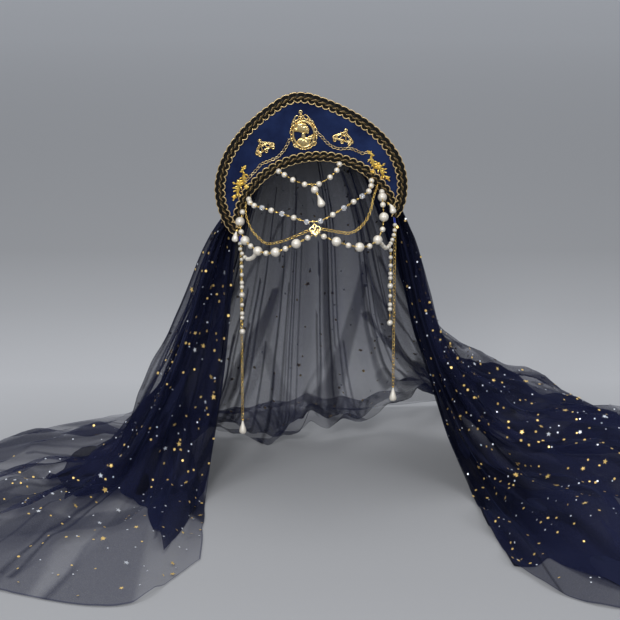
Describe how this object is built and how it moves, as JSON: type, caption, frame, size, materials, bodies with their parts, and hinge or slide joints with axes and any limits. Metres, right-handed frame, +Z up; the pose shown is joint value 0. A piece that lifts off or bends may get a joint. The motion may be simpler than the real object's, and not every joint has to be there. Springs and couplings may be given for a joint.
{
  "type": "beaded halo headdress with veil",
  "caption": "Pointed velvet halo headdress edged with gimp braid, with a cameo brooch, pearl and chain festoons, long strands and a starry tulle veil.",
  "frame": {"origin": "crown of the head that wears it, inside the top of the headband", "axes": "+Z up, the wearer faces -Y, +X to the wearer's left, the viewer's right"},
  "size_m": [0.9238, 0.6392, 0.4737],
  "materials": {
    "navy_velvet": "soft navy velvet with a short pile",
    "gimp_braid": "gold cord and black thread gimp, half shiny",
    "blue_satin": "royal blue satin ribbon",
    "pale_gold": "pale gold plate, polished with darkened recesses",
    "yellow_gold": "matte yellow gold plate",
    "pearl": "imitation pearl, soft sheen",
    "crystal": "clear faceted crystal bead",
    "navy_tulle": "sheer soft tulle",
    "gold_sequin": "flat gold foil star or dot",
    "silver_sequin": "flat silver foil star or dot"
  },
  "bodies": {
    "root": {"halo": "navy_velvet", "outer_braid": "gimp_braid", "inner_braid": "gimp_braid", "headband": "blue_satin", "cameo_brooch": "pale_gold", "filigree_left": "pale_gold", "filigree_right": "pale_gold", "spray_left": "yellow_gold", "spray_right": "yellow_gold", "halo_chain_left": "pale_gold", "halo_chain_right": "pale_gold", "upper_festoon": "pearl", "centre_drop": "pearl", "middle_festoon": "pearl", "fleur_connector": "pale_gold", "brow_chain_left": "pale_gold", "brow_chain_right": "pale_gold", "brow_string_left": "pearl", "brow_string_right": "pearl", "temple_drop_left": "pearl", "temple_drop_right": "pearl", "side_loop_left": "pearl", "side_loop_right": "pearl", "short_strand_left": "pearl", "short_strand_right": "pearl", "long_chain_left": "pale_gold", "long_chain_right": "pale_gold", "end_drop_left": "pearl", "end_drop_right": "pearl", "veil": "navy_tulle"}
  },
  "joints": []
}
